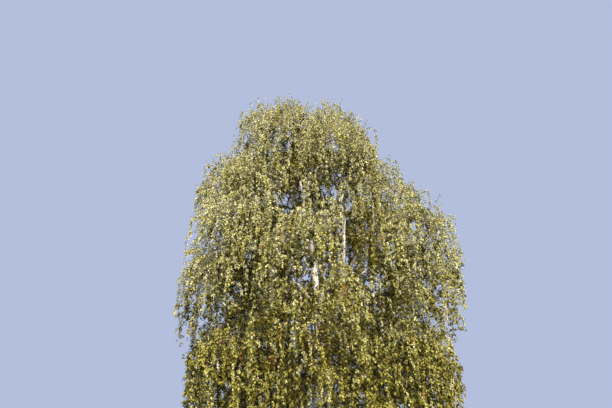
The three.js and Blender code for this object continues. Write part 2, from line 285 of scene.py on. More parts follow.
def mass_plans():
    masses = []
    for level, tier in enumerate(TIERS):
        for i in range(tier.count):
            chance = seeded(100 * (level + 1) + i)
            turn = math.radians(tier.turn + 360 * i / tier.count + JITTER.turn * (2 * next(chance) - 1))
            reach = tier.reach + JITTER.reach * (2 * next(chance) - 1)
            outward = np.array([math.cos(turn), math.sin(turn), 0.0])
            middle = outward * reach
            middle[0] += tier.shift
            middle[2] = tier.middle + (WEAVE if i % 2 else -WEAVE) + JITTER.middle * (2 * next(chance) - 1)
            name = f"{tier.name}_{i + 1}"
            middle[2] -= LOWERED.get(name, 0)
            masses.append(Mass(name, level, i, outward, middle, tier.half))
    for i, leader in enumerate((LEFT_LEADER, RIGHT_LEADER)):
        middle = np.array(leader.handles[-1], float)
        middle[2] -= TOP_DROP
        outward = np.array([math.copysign(1, middle[0]), 0.0, 0.0])
        masses.append(Mass(("top_left", "top_right")[i], len(TIERS), i, outward, middle, TOP_HALF, leader))
    for mass in masses:
        mass.meet([other for other in masses if other is not mass])
    return masses


def point_at_height(handles, height):
    low, high = 0.0, 1.0
    for _ in range(40):
        half = (low + high) / 2
        if along_curve(handles, half)[0, 2] < height:
            low = half
        else:
            high = half
    return along_curve(handles, (low + high) / 2)[0]


def carrier_of(mass):
    """The handles of the limb that a mass's bough grows on."""
    if mass.level == 0:
        return trunk_handles()
    leader = RIGHT_LEADER if mass.middle[0] > RIGHT_SIDE else LEFT_LEADER
    return leader.handles


def bough_plan(mass):
    tip = mass.middle - mass.outward * BOUGH.enters * mass.deep
    tip[2] += BOUGH.above * mass.tall
    below = math.hypot(tip[0], tip[1]) * BOUGH.rise + BOUGH.steepest
    start = point_at_height(carrier_of(mass), tip[2] - below + ((mass.i % 3) - 1) * BOUGH.stagger)
    bend = start + (tip - start) * BOUGH.arch
    bend[2] = start[2] + (tip[2] - start[2]) * BOUGH.bend
    root = BOUGH.thinnest + BOUGH.thickening * np.linalg.norm(tip - start)
    return SimpleNamespace(handles=(start, bend, tip), root=root, tip=BOUGH.tip)


def stem_handles(mass):
    """The stem of a mass goes on from its bough's or leader's tip and arches over."""
    handles = mass.bough.handles if mass.bough else mass.leader.handles
    tip, heading = along_curve(handles, 1)[0], heading_at(handles, 1)[0]
    start = tip + heading * GAP
    end = mass.middle.copy()
    if mass.leader:
        end[2] += STEM.upright * mass.tall
    else:
        end += mass.outward * STEM.over * mass.deep
        end[2] += STEM.above * mass.tall
    return start, start + heading * np.linalg.norm(end - start) * STEM.lead, end


def middle_line(handles, share, rings):
    """The point of a limb's middle line, which runs straight from ring to ring."""
    ring = min(int(share * rings), rings - 1)
    a, b = along_curve(handles, [ring / rings, (ring + 1) / rings])
    return a + (b - a) * (share * rings - ring)


def twig_handles(mass, k):
    """A twig runs from the stem towards the edge of its mass's space, arches over, and hangs down."""
    u, v = even_pair(k)
    turn = (1 if mass.leader else TWIG.fan) * math.pi * (2 * u - 1)
    rise = TWIG.lowest + TWIG.spread * v
    flat = math.sqrt(1 - rise**2)
    direction = mass.outward * mass.deep * flat * math.cos(turn)
    direction = direction + sideways(mass.outward) * mass.wide * flat * math.sin(turn)
    direction[2] = mass.tall * rise
    direction = unit(direction)
    target = mass.middle + direction * TWIG.shell * mass.reach(direction)
    share = 0.2 + 0.7 * v if mass.leader else 0.55 + 0.36 * flat * math.cos(turn)
    start = middle_line(mass.stem, share, STEM.rings)
    bend = start + (target - start) * TWIG.bend
    bend[2] += TWIG.lift * np.linalg.norm(target - start)
    over = start + (target - start) * TWIG.over
    over[2] = target[2] + TWIG.above
    end = target.copy()
    end[2] -= TWIG.hang * (0.7 + 0.3 * u)
    return start, bend, over, end


# Limbs with bark


def relief(seed, waves, longest, shortest):
    """A bark surface as a sum of waves: relief(turn, length) is from about -1 to 1."""
    rng = np.random.default_rng(seed)
    around = rng.integers(0, 9, waves)
    pace = 2 * math.pi / np.exp(rng.uniform(math.log(shortest), math.log(longest), waves))
    phase = rng.uniform(0, 2 * math.pi, waves)
    size = rng.uniform(0.4, 1, waves) / math.sqrt(waves)

    def height(turn, length):
        shape = np.broadcast(turn, length).shape
        total = np.zeros(shape)
        for a, p, f, s in zip(around, pace, phase, size):
            total += s * np.sin(a * turn + p * length + f)
        return total

    return height


def limb(handles, radius_at, sides, rings, reference, spread=1.0):
    """A closed limb along a curve, as (corners, faces, the bark's own coordinates, girth)."""
    shares = np.linspace(0, 1, rings + 1) ** spread
    middles = along_curve(handles, shares)
    headings = heading_at(handles, shares)
    across = reference - headings * (headings @ reference)[:, None]
    across /= np.linalg.norm(across, axis=1, keepdims=True)
    third = np.cross(headings, across)
    steps = np.linalg.norm(np.diff(middles, axis=0), axis=1)
    length = np.concatenate([[0], np.cumsum(steps)])
    turn = np.linspace(0, 2 * math.pi, sides, endpoint=False)
    radius = radius_at(shares[:, None], turn[None, :], length[:, None])
    round_x, round_y = np.cos(turn)[None, :, None], np.sin(turn)[None, :, None]
    wall = middles[:, None] + radius[..., None] * (across[:, None] * round_x + third[:, None] * round_y)
    plain = radius.mean(1, keepdims=True)
    bark = np.stack([plain * np.cos(turn), plain * np.sin(turn), length[:, None] + 0 * turn], -1)
    girth = np.broadcast_to(plain, radius.shape)
    corners = np.concatenate([wall.reshape(-1, 3), middles[:1], middles[-1:]])
    bark = np.concatenate([bark.reshape(-1, 3), [[0, 0, 0], [0, 0, length[-1]]]])
    girth = np.concatenate([girth.ravel(), plain[0], plain[-1]])
    here = (np.arange(rings)[:, None] * sides + np.arange(sides)).ravel()
    beside = (np.arange(rings)[:, None] * sides + (np.arange(sides) + 1) % sides).ravel()
    faces = np.stack([here, beside, beside + sides, here + sides], 1).tolist()
    foot, head, last = len(corners) - 2, len(corners) - 1, rings * sides
    for side in range(sides):
        step = (side + 1) % sides
        faces.append([foot, step, side])
        faces.append([head, last + side, last + step])
    return corners, faces, bark, girth


def joined(parts):
    """Several limbs as one set of corners, faces and coordinates."""
    corners, faces, bark, girth, first = [], [], [], [], 0
    for part in parts:
        corners.append(part[0])
        faces += [[first + corner for corner in face] for face in part[1]]
        bark.append(part[2])
        girth.append(part[3])
        first += len(part[0])
    return np.concatenate(corners), faces, np.concatenate(bark), np.concatenate(girth)


def bark_piece(name, shape, scar, finish, *nodes):
    """A limb as an object that replaces its nodes."""
    corners, faces, bark, girth = shape
    mesh = bpy.data.meshes.new(name)
    mesh.from_pydata(corners.tolist(), [], faces)
    for label, kind, field, values in (
        ("bark_place", "FLOAT_VECTOR", "vector", bark),
        ("girth", "FLOAT", "value", girth),
        ("scar", "FLOAT", "value", scar),
    ):
        layer = mesh.attributes.new(label, kind, "POINT")
        layer.data.foreach_set(field, np.ravel(values).astype(np.float32))
    mesh.polygons.foreach_set("use_smooth", np.ones(len(mesh.polygons), bool))
    mesh.materials.append(finish)
    mesh.update()
    placed(name, mesh, "bark", *nodes)


def placed(name, mesh, slot, *nodes):
    """Puts a mesh in the scene as a piece of the tree that replaces its nodes."""
    piece = bpy.data.objects.new(name, mesh)
    bpy.context.scene.collection.objects.link(piece)
    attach(piece, "root")
    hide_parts(*nodes)


def trunk_radius(rough):
    def radius_at(share, turn, length):
        height = share * FORK_HEIGHT
        flare = np.exp(-height / FLARE.height)
        plain = TRUNK_FOOT + (TRUNK_FORK - TRUNK_FOOT) * share
        ridge = FLARE.ridge * np.cos(FLARE.roots * turn)
        plates = np.abs(rough.coarse(turn, length)) * RELIEF.plates * np.exp(-height / RELIEF.plates_fade)
        return plain + flare * (FLARE.spread + ridge) + plates + rough.fine(turn, length) * RELIEF.trunk_fine

    return radius_at


def leader_radius(root, tip, rough):
    def radius_at(share, turn, length):
        plain = root + (tip - root) * share
        wavy = plain * (1 + rough.coarse(turn, length) * RELIEF.leader)
        return wavy + rough.fine(turn, length) * RELIEF.leader_fine

    return radius_at


def bough_radius(root, tip, rough):
    def radius_at(share, turn, length):
        plain = root + (tip - root) * share
        collar = 1 + COLLAR.swell * np.exp(-length / COLLAR.fade)
        return plain * collar * (1 + rough.coarse(turn, length) * RELIEF.bough)

    return radius_at


def scars_near(corners, places, wide, tall):
    """The dark mark over each place where a bough leaves its stem, from 0 to 1."""
    mark = np.zeros(len(corners))
    for place in places:
        away = corners - place
        flat = np.hypot(away[:, 0], away[:, 1]) / wide
        mark = np.maximum(mark, np.exp(-(flat**2) - (away[:, 2] / tall) ** 2))
    return mark


# Twigs, shoots and strands


class Growth:
    """Lines of fine wood that grow on one mass, with the tone of the leaves that each carries."""

    def __init__(self):
        self.lines, self.girths, self.leafy, self.tones = [], [], [], []

    def add(self, points, thick, thin, leafy, tone):
        if len(points) < 2:
            return
        self.lines.append(points)
        self.girths.append(np.linspace(thick, thin, len(points)))
        self.leafy.append(leafy)
        self.tones.append(tone)


def kept_run(mass, points, slack, rng):
    """How many points of each line come before it leaves the mass's space or enters a clearing."""
    stays = mass.holds(points, slack) & in_crown(points) & ~in_clearing(points, rng.random((len(points), 1)))
    return np.where(stays.all(-1), points.shape[-2], stays.argmin(-1))


def in_crown(points):
    """Which points lie within the crown's reach and above its lowest twigs."""
    near = np.hypot(points[..., 0] - CROWN.x, points[..., 1] - CROWN.y) < CROWN.reach
    return near & (points[..., 2] > CROWN.lowest)


def on_picture_plane(points):
    """Where the line of sight from the eye through each point meets the plane of the trunk."""
    stretch = -EYE[1] / (points[..., 1] - EYE[1])
    across = EYE[0] + (points[..., 0] - EYE[0]) * stretch
    return across, EYE[2] + (points[..., 2] - EYE[2]) * stretch


def in_clearing(points, chance):
    """Which points stand in front of open sky, or hide a stem that shows."""
    across, up = on_picture_plane(points)
    found = np.zeros(across.shape, bool)
    for x, z, half_width, half_height, behind, crossed in SUNLIT:
        beside = (points[..., 0] + points[..., 1] * SUNWARD[0] - x) / half_width
        over = (points[..., 2] + points[..., 1] * SUNWARD[1] - z) / half_height
        found |= (beside**2 + over**2 < 1) & (points[..., 1] < behind) & (chance > crossed)
    for x, z, half_width, half_height, behind, crossed in CLEARINGS:
        inside = ((across - x) / half_width) ** 2 + ((up - z) / half_height) ** 2 < 1
        found |= inside & (points[..., 1] < behind) & (chance > crossed)
    return found


def even_triple(k):
    """Three numbers from 0 to 1 that fill a space evenly as k counts up."""
    return np.array([(0.5 + k * step) % 1 for step in (0.8191725134, 0.6710436067, 0.5497004779)])


def grow_mass(mass, rng):
    """The twigs of the solids' rule, then branchlets from them to points spread evenly through the mass."""
    growth = Growth()
    wood = [along_curve(mass.stem, np.linspace(0.1, 1, 9))]
    if mass.bough:
        wood.append(along_curve(mass.bough.handles, np.linspace(0.5, 1, 9)))
    for k in range(TWIGS_PER_MASS):
        line = carry_shoots(mass, growth, rng, twig_handles(mass, k), SLACK.twig, TWIG_RADIUS, 0.2)
        wood.append(line[3:])
    targets = []
    k = 0
    while len(targets) < BRANCHLETS[mass.level]:
        place = (TARGETS.span * even_triple(k) - TARGETS.start) * mass.half
        target = mass.middle + place @ mass.axes
        k += 1
        if mass.holds(target, SLACK.target):
            targets.append(target)
    targets.sort(key=lambda target: np.linalg.norm(target - mass.stem[0]))
    for target in targets:
        nodes = np.concatenate(wood)
        away = target - nodes
        far = np.linalg.norm(away, axis=1)
        root = nodes[np.argmin(far + TARGETS.climb * np.maximum(away[:, 2], 0))]
        step = target - root
        far = np.linalg.norm(step)
        if far < TARGETS.nearest:
            continue
        arch = UP * far
        handles = (root, root + step * 0.3 + arch * 0.3, root + step * 0.85 + arch * 0.2, target)
        line = carry_shoots(mass, growth, rng, handles, SLACK.branchlet, BRANCHLET_RADIUS, 0.3)
        wood.append(line[2:])
    return growth


def carry_shoots(mass, growth, rng, handles, slack, radius, bare):
    """A twig along a curve, cut where it leaves its mass, with shoots on both sides past its bare part."""
    line = along_curve(handles, np.linspace(0, 1, TWIG_POINTS))
    keep = int(kept_run(mass, line[None], slack, rng)[0])
    if keep < 4:
        return line[:0]
    main = pick_tone(rng, mass, line[keep - 1])
    thin = radius[0] + (radius[1] - radius[0]) * keep / TWIG_POINTS
    growth.add(line[:keep], radius[0], thin, False, main)
    growth.add(line[keep // 2 : keep], BARE, BARE, True, main)
    length = np.linalg.norm(np.diff(line[:keep], axis=0), axis=1).sum()
    count = max(2, round(length * (1 - bare) / SHOOT_STEP))
    shares = np.linspace(bare, 0.97, count) + rng.uniform(-0.02, 0.02, count)
    shares = shares * (keep - 1) / (TWIG_POINTS - 1)
    bases = along_curve(handles, shares)
    slopes = heading_at(handles, shares)
    for j in range(count):
        grow_shoot(mass, growth, rng, bases[j], slopes[j], j % 2 * 2 - 1, main)
    return line[:keep]


def in_tuft(point):
    """Whether a point lies in the tuft that has turned."""
    across, up = on_picture_plane(point)
    aside = math.hypot((across - TUFT.x) / TUFT.half_width, (up - TUFT.z) / TUFT.half_height)
    return aside < 1 and point[1] < TUFT.before


def pick_tone(rng, mass, point):
    """The number of a tone: dark deep in the crown and darker and greener at its foot, as painted shade, and
    paler towards its top, as painted sunlight.
    """
    outer = 1.0
    if not mass.leader:
        away = OUTER.outward * (point - mass.middle) @ mass.outward / mass.deep
        outer = min(max(OUTER.at_middle + away, 0.0), 1.0)
    high = min(max((point[2] - FOOT.height) / FOOT.fade, 0.0), 1.0)
    # dark shares paint shade inside the crown and at its foot, pale shares paint sunlight at its top
    share = INNER_SHARE * (1 - outer) + (FOOT_SHARE * (1 - high) + TOP_SHARE * high) * outer
    return int(np.searchsorted(np.cumsum(share), rng.random() * share.sum()))


def grow_shoot(mass, growth, rng, base, slope, side, main):
    """A side shoot with its hanging strands, and on the upper side of a mass often a crest that stands up."""
    tone = main if rng.random() < KEPT_TONE else pick_tone(rng, mass, base)
    flat = np.array([slope[0], slope[1], 0.0])
    steep = np.linalg.norm(flat) < SHOOT.steep
    if steep:
        turn = rng.uniform(0, 2 * math.pi)
        flat = np.array([math.cos(turn), math.sin(turn), 0.0])
    flat = unit(flat)
    heading = unit(flat * rng.uniform(*SHOOT.forward) + side * sideways(flat) + UP * rng.uniform(*SHOOT.rise))
    long = rng.uniform(*SHOOT_LENGTH) * (SHOOT.steep_length if steep else 1)
    t = np.linspace(0, 1, SHOOT.points)[:, None]
    shoot = base + heading * long * t + UP * (SHOOT.lift * t - rng.uniform(*SHOOT.sag) * t**2) * long
    keep = int(kept_run(mass, shoot[None], SLACK.shoot, rng)[0])
    growth.add(shoot[:keep], *SHOOT_RADIUS, True, tone)
    if keep >= 2:
        count = max(1, round(long * (keep - 1) / (SHOOT.points - 1) / STRAND_STEP))
        spots = np.linspace(1, SHOOT.bare, count) if count > 1 else np.array([1.0])
        where = spots * (keep - 1)
        low = np.floor(where).astype(int).clip(0, keep - 2)
        places = shoot[low] + (shoot[low + 1] - shoot[low]) * (where - low)[:, None]
        hang_strands(mass, growth, rng, places, heading, tone)
    if not steep and base[2] > mass.middle[2] and rng.random() < CREST.chance:
        lean = unit(UP + heading * rng.uniform(*CREST.lean) + unit(base - mass.middle) * CREST.outward)
        high = rng.uniform(*CREST_LENGTH)
        t = np.linspace(0, 1, CREST.points)[:, None]
        crest = base + lean * high * t + heading * CREST.curve * high * t**2
        slack = SLACK.top_crest if mass.leader else SLACK.crest
        keep = int(kept_run(mass, crest[None], slack, rng)[0])
        growth.add(crest[:keep], *SHOOT_RADIUS, True, tone)


def hang_strands(mass, growth, rng, places, heading, tone):
    """Strands that swing out a little from these places and hang down."""
    count = len(places)
    t = np.linspace(0, 1, STRAND_POINTS)
    turn = rng.uniform(-STRAND.turn, STRAND.turn, count)
    cos, sin = np.cos(turn), np.sin(turn)
    out = np.stack([heading[0] * cos - heading[1] * sin, heading[0] * sin + heading[1] * cos, 0 * turn], -1)
    drop = STRAND_DROP[0] + (STRAND_DROP[1] - STRAND_DROP[0]) * rng.random(count) ** STRAND.shorter
    bulge = rng.uniform(*STRAND.bulge, count)[:, None] * (1 - np.exp(-4 * t))
    sway = rng.uniform(-1, 1, (count, 2)) * STRAND.sway
    wave = np.sin(t * rng.uniform(2, 5, (count, 1)) + rng.uniform(0, 6, (count, 1)))
    lines = places[:, None] + out[:, None] * bulge[..., None]
    lines[..., :2] += sway[:, None] * (t * drop[:, None])[..., None] + STRAND.waver * (wave * t)[..., None]
    lines[..., 2] -= drop[:, None] * t**STRAND.fall
    keeps = kept_run(mass, lines, SLACK.shoot, rng)
    for line, keep in zip(lines, keeps):
        if keep >= 3:
            own = tone if rng.random() < KEPT_TONE else pick_tone(rng, mass, line[0])
            growth.add(line[:keep], *STRAND_RADIUS, True, own)


# Meshes from lines, by geometry nodes


class Recipe:
    """A tree of geometry nodes with named inputs, and the one way its nodes are added."""

    def __init__(self, name, **inputs):
        self.tree = bpy.data.node_groups.new(name, "GeometryNodeTree")
        sockets = self.tree.interface
        sockets.new_socket("Geometry", in_out="INPUT", socket_type="NodeSocketGeometry")
        for label, kind in inputs.items():
            sockets.new_socket(label, in_out="INPUT", socket_type=f"NodeSocket{kind}")
        sockets.new_socket("Geometry", in_out="OUTPUT", socket_type="NodeSocketGeometry")
        self.given = self.tree.nodes.new("NodeGroupInput").outputs
        self.result = self.tree.nodes.new("NodeGroupOutput").inputs[0]

    def node(self, kind, settings=None, out=0, **values):
        made = self.tree.nodes.new(kind)
        for key, value in (settings or {}).items():
            setattr(made, key, value)
        for key, value in values.items():
            socket = next(s for s in made.inputs if s.identifier == key)
            if isinstance(value, bpy.types.NodeSocket):
                self.tree.links.new(value, socket)
            else:
                socket.default_value = value
        return made.outputs[out]

    def run(self, name, lines, **sizes):
        """Grows a plain mesh from a mesh of lines."""
        carrier = bpy.data.objects.new(name + "_lines", lines)
        change = carrier.modifiers.new("growth", "NODES")
        change.node_group = self.tree
        for item in self.tree.interface.items_tree:
            if item.in_out == "INPUT" and item.name in sizes:
                change[item.identifier] = sizes[item.name]
        bpy.context.scene.collection.objects.link(carrier)
        graph = bpy.context.evaluated_depsgraph_get()
        mesh = bpy.data.meshes.new_from_object(carrier.evaluated_get(graph), depsgraph=graph)
        mesh.name = name
        carrier.modifiers.remove(change)
        bpy.data.objects.remove(carrier)
        bpy.data.meshes.remove(lines)
        return mesh


def wood_recipe():
    """Thin rods of their own girth along lines."""
    recipe = Recipe("rods_on_lines", Sides="Int", Finish="Material")
    line = recipe.node("GeometryNodeMeshToCurve", Mesh=recipe.given["Geometry"])
    ring = recipe.node("GeometryNodeCurvePrimitiveCircle", Resolution=recipe.given["Sides"], Radius=1.0)
    girth = recipe.node("GeometryNodeInputNamedAttribute", {"data_type": "FLOAT"}, Name="girth")
    settings = {"Curve": line, "Profile Curve": ring, "Scale": girth, "Fill Caps": True}
    rods = recipe.node("GeometryNodeCurveToMesh", **settings)
    solid = recipe.node("GeometryNodeRealizeInstances", Geometry=rods)
    done = recipe.node("GeometryNodeSetMaterial", Geometry=solid, Material=recipe.given["Finish"])
    recipe.tree.links.new(done, recipe.result)
    return recipe


def leaf_recipe():
    """Sprays of leaves at even steps along lines, each turned and sized by chance."""
    inputs = {"Spray": "Object", "Step": "Float", "Smallest": "Float", "Largest": "Float"}
    recipe = Recipe("sprays_on_lines", **inputs, Seed="Int", Finish="Material")
    line = recipe.node("GeometryNodeMeshToCurve", Mesh=recipe.given["Geometry"])
    length = {"mode": "LENGTH"}
    even = recipe.node("GeometryNodeResampleCurve", length, Curve=line, Length=recipe.given["Step"])
    spray = recipe.node("GeometryNodeObjectInfo", out="Geometry", Object=recipe.given["Spray"])
    across, along = SPRAY_LEAN
    lean = {"Min": (-across, -along, 0.0), "Max": (across, along, 2 * math.pi), "Seed": recipe.given["Seed"]}
    turn = recipe.node("FunctionNodeRandomValue", {"data_type": "FLOAT_VECTOR"}, **lean)
    angle = recipe.node("FunctionNodeEulerToRotation", Euler=turn)
    smallest, largest, seed = (recipe.given[label] for label in ("Smallest", "Largest", "Seed"))
    sizes = {"Min_001": smallest, "Max_001": largest, "Seed": seed}
    size = recipe.node("FunctionNodeRandomValue", {"data_type": "FLOAT"}, 1, **sizes)
    sprays = {"Points": even, "Instance": spray, "Rotation": angle, "Scale": size}
    many = recipe.node("GeometryNodeInstanceOnPoints", **sprays)
    real = recipe.node("GeometryNodeRealizeInstances", Geometry=many)
    done = recipe.node("GeometryNodeSetMaterial", Geometry=real, Material=recipe.given["Finish"])
    recipe.tree.links.new(done, recipe.result)
    return recipe


def lines_mesh(name, lines, girths):
    """Open lines as a mesh of edges, with the wood's radius at each point."""
    counts = np.array([len(line) for line in lines])
    points = np.concatenate(lines)
    ends = np.cumsum(counts)
    firsts = np.delete(np.arange(len(points)), ends - 1)
    mesh = bpy.data.meshes.new(name)
    mesh.vertices.add(len(points))
    mesh.vertices.foreach_set("co", points.astype(np.float32).ravel())
    mesh.edges.add(len(firsts))
    mesh.edges.foreach_set("vertices", np.stack([firsts, firsts + 1], 1).astype(np.int32).ravel())
    layer = mesh.attributes.new("girth", "FLOAT", "POINT")
    layer.data.foreach_set("value", np.concatenate(girths).astype(np.float32))
    mesh.update()
    return mesh


def spray_of_leaves(name, seed):
    """Four leaves of one twig's length, each folded along its midrib and hanging a little."""
    rng = np.random.default_rng(seed)
    corners, faces = [], []
    for i in range(SPRAY.leaves):
        turn = i * SPRAY.turn + rng.uniform(-SPRAY.stray, SPRAY.stray)
        dip = rng.uniform(*SPRAY.dip)
        roll = rng.uniform(-SPRAY.roll, SPRAY.roll)
        size = rng.uniform(*SPRAY.size)
        along = np.array([math.cos(turn) * math.cos(dip), math.sin(turn) * math.cos(dip), -math.sin(dip)])
        side = unit(np.cross(UP, along))
        face = np.cross(along, side)
        cos, sin = math.cos(roll), math.sin(roll)
        side, face = side * cos + face * sin, face * cos - side * sin
        root = np.array([0, 0, -SPRAY.drop * i]) + along * SPRAY.stalk
        broad = root + along * LEAF.length * LEAF.widest * size + face * LEAF.fold * size
        first = len(corners)
        corners += [
            root,
            broad - side * LEAF.width / 2 * size,
            root + along * LEAF.length * size,
            broad + side * LEAF.width / 2 * size,
        ]
        faces += [(first, first + 1, first + 2), (first, first + 2, first + 3)]
    mesh = bpy.data.meshes.new(name)
    mesh.from_pydata([tuple(corner) for corner in corners], [], faces)
    return bpy.data.objects.new(name, mesh)


# Finishes


class Mark:
    """A value that runs through a finish; sums on it add the nodes that they need."""

    def __init__(self, finish, socket):
        self.finish, self.socket = finish, socket

    def __add__(self, other):
        return self.finish.sum("ADD", self, other)

    def __sub__(self, other):
        return self.finish.sum("SUBTRACT", self, other)

    def __rsub__(self, other):
        return self.finish.sum("SUBTRACT", other, self)

    def __mul__(self, other):
        return self.finish.sum("MULTIPLY", self, other)

    __radd__ = __add__
    __rmul__ = __mul__


class Finish:
    """A material, and the one way its nodes are added."""

    def __init__(self, name, **plain):
        self.material = bpy.data.materials.new(name)
        self.material.use_nodes = True
        self.tree = self.material.node_tree
        self.shader = self.tree.nodes["Principled BSDF"]
        for key, value in plain.items():
            self.set(key.replace("_", " "), value)

    def set(self, name, value):
        self.feed(self.shader.inputs[name], value)

    def feed(self, socket, value):
        if isinstance(value, Mark):
            self.tree.links.new(value.socket, socket)
        else:
            socket.default_value = value

    def node(self, kind, settings=None, out=0, **values):
        made = self.tree.nodes.new(kind)
        for key, value in (settings or {}).items():
            setattr(made, key, value)
        for key, value in values.items():
            self.feed(next(s for s in made.inputs if s.identifier == key), value)
        return Mark(self, made.outputs[out])

    def sum(self, operation, a, b):
        return self.node("ShaderNodeMath", {"operation": operation}, Value=a, Value_001=b)

    def attribute(self, name, out):
        return self.node("ShaderNodeAttribute", {"attribute_name": name}, out)

    def stretched(self, place, scale):
        return self.node("ShaderNodeVectorMath", {"operation": "MULTIPLY"}, Vector=place, Vector_001=scale)

    def noise(self, place, scale, detail=2.0):
        return self.node("ShaderNodeTexNoise", Vector=place, Scale=scale, Detail=detail)

    def ramp(self, value, low, high):
        """0 below low, 1 above high and smooth between, or the other way round where low is higher."""
        limits = {"From Min": low, "From Max": high}
        return self.node("ShaderNodeMapRange", {"interpolation_type": "SMOOTHSTEP"}, Value=value, **limits)

    def blend(self, mask, under, over):
        values = {"Factor_Float": mask, "A_Color": under, "B_Color": over}
        return self.node("ShaderNodeMix", {"data_type": "RGBA"}, 2, **values)


def linear(red, green, blue):
    """A colour given as it looks, 0 to 255, as the shader takes it."""

    def one(c):
        c /= 255
        return c / 12.92 if c <= 0.04045 else ((c + 0.055) / 1.055) ** 2.4

    return one(red), one(green), one(blue), 1.0


def birch_bark():
    """White paper with dark marks, black scars under the boughs, a furrowed foot and brown thin wood."""
    bark = Finish("birch_bark")
    place = bark.attribute("bark_place", "Vector")
    girth = bark.attribute("girth", "Fac")
    scar = bark.attribute("scar", "Fac")
    object_place = bark.node("ShaderNodeTexCoord", out="Object")
    height = bark.node("ShaderNodeSeparateXYZ", out="Z", Vector=object_place)
    bands = bark.noise(bark.stretched(place, (2.0, 2.0, 9.0)), 1.0, 3.0)
    patches = bark.noise(place, 3.1, 2.0)
    dashes = bark.noise(bark.stretched(place, (7.0, 7.0, 75.0)), 1.0, 1.0)
    fine = bark.noise(bark.stretched(place, (60.0, 60.0, 22.0)), 1.0, 3.0)
    cells = bark.node("ShaderNodeTexVoronoi", Vector=bark.stretched(place, (4.2, 4.2, 2.3)), Scale=1.0)

    paper = bark.blend(bark.ramp(bands, 0.35, 0.68), linear(226, 219, 205), linear(191, 180, 163))
    paper = bark.blend(bark.ramp(patches, 0.56, 0.7) * 0.5, paper, linear(158, 150, 128))
    dash = bark.ramp(dashes, 0.61, 0.67)
    paper = bark.blend(dash * 0.8, paper, linear(84, 74, 64))
    old = bark.ramp(height + patches * 2.0, 5.5, 2.2)
    diamond = bark.ramp(cells + fine * 0.12, 0.33, 0.22) * old
    rough_foot = bark.ramp(height + patches * 1.7, 2.5, 1.3)
    torn = bark.ramp(scar + (fine - 0.5) * 0.5, 0.42, 0.6)
    dark = bark.node("ShaderNodeMath", {"operation": "MAXIMUM"}, Value=diamond, Value_001=rough_foot)
    dark = bark.node("ShaderNodeMath", {"operation": "MAXIMUM"}, Value=dark, Value_001=torn)
    long_plates = bark.stretched(place, (17.0, 17.0, 5.0))
    cracks = bark.node("ShaderNodeTexVoronoi", {"feature": "DISTANCE_TO_EDGE"}, Vector=long_plates, Scale=1.0)
    plate = bark.ramp(cracks + (fine - 0.5) * 0.3, 0.05, 0.3)
    furrow = bark.blend(plate, linear(24, 20, 17), linear(112, 101, 87))
    furrow = bark.blend(fine * 0.7, furrow, linear(50, 43, 37))
    colour = bark.blend(dark, paper, furrow)
    thin = bark.ramp(girth + (patches - 0.5) * 0.02, 0.042, 0.02)
    twiggy = bark.blend(fine, linear(84, 58, 44), linear(120, 92, 74))
    colour = bark.blend(thin, colour, twiggy)
    bark.set("Base Color", colour)
    bark.set("Roughness", 0.5 + dark * 0.35 + thin * 0.1)
    lift = bands * 0.25 + fine * (0.25 + dark * 1.4) + plate * rough_foot * 2.6 - dash * 0.5 - torn * 0.4
    bump = bark.node("ShaderNodeBump", Height=lift, Strength=0.7, Distance=0.007)
    bark.set("Normal", bump)
    return bark.material


def twig_wood():
    return Finish("twig_wood", Base_Color=linear(90, 68, 56), Roughness=0.6).material


LEAF_TONES = {
    "olive": (157, 151, 84),
    "moss": (143, 139, 70),
    "straw": (168, 163, 112),
    "gold": (172, 154, 62),
    "sage": (160, 157, 121),
    "rust": (142, 100, 54),
    # shade and deep are darker copies of the leaf colour, painted shade for leaves inside the crown and at
    # its foot
    "shade": (118, 110, 44),
    "deep": (76, 70, 22),
}


def leaf_finish(tone):
    dull = tone in DARK_TONES
    sheen = {"Roughness": 0.75 if dull else 0.5, "Specular IOR Level": 0.08 if dull else 0.3}
    plain = {"Base Color": linear(*LEAF_TONES[tone]), **sheen}
    finish = Finish(f"leaf_{tone}")
    for name, value in plain.items():
        finish.set(name, value)
    return finish.material


# Stage


def set_stage():
    scene = bpy.context.scene
    scene.view_settings.view_transform = "Standard"
    camera = bpy.data.objects.new("camera", bpy.data.cameras.new("camera"))
    camera.data.lens = LENS
    camera.data.sensor_width = 36
    camera.location = EYE.tolist()
    camera.rotation_euler = (math.pi / 2 + EYE_PITCH, 0, 0)
    scene.collection.objects.link(camera)
    scene.camera = camera
    # the world: a plain sky that gives way to a darker tone well below the horizon
    world = bpy.data.worlds.new("studio")
    world.use_nodes = True
    nodes, links = world.node_tree.nodes, world.node_tree.links
    height = nodes.new("ShaderNodeSeparateXYZ")
    links.new(nodes.new("ShaderNodeTexCoord").outputs["Generated"], height.inputs[0])
    above = nodes.new("ShaderNodeMapRange")
    above.inputs["From Min"].default_value, above.inputs["From Max"].default_value = -0.3, -0.1
    links.new(height.outputs["Z"], above.inputs["Value"])
    blend = nodes.new("ShaderNodeMix")
    blend.data_type = "RGBA"
    links.new(above.outputs[0], blend.inputs[0])
    blend.inputs[6].default_value, blend.inputs[7].default_value = linear(*UNDER_SKY), linear(*SKY)
    links.new(blend.outputs[2], nodes["Background"].inputs["Color"])
    scene.world = world
    for name, energy, width, colour, tilt, turn in LIGHTS:
        lamp = bpy.data.objects.new(name, bpy.data.lights.new(name, "SUN"))
        lamp.data.energy = energy
        lamp.data.angle = math.radians(width)
        lamp.data.color = colour
        lamp.rotation_euler = (math.radians(tilt), 0, math.radians(turn))
        scene.collection.objects.link(lamp)
    floor = bpy.data.meshes.new("floor")
    corners = [(x * FLOOR.half, y * FLOOR.half, FLOOR.top) for x, y in ((-1, -1), (1, -1), (1, 1), (-1, 1))]
    floor.from_pydata(corners, [], [(0, 1, 2, 3)])
    finish = Finish("floor", Base_Color=linear(152, 150, 146), Roughness=0.9, Specular_IOR_Level=0.0)
    floor.materials.append(finish.material)
    ground = bpy.data.objects.new("floor", floor)
    ground.visible_diffuse = False
    scene.collection.objects.link(ground)


# The tree


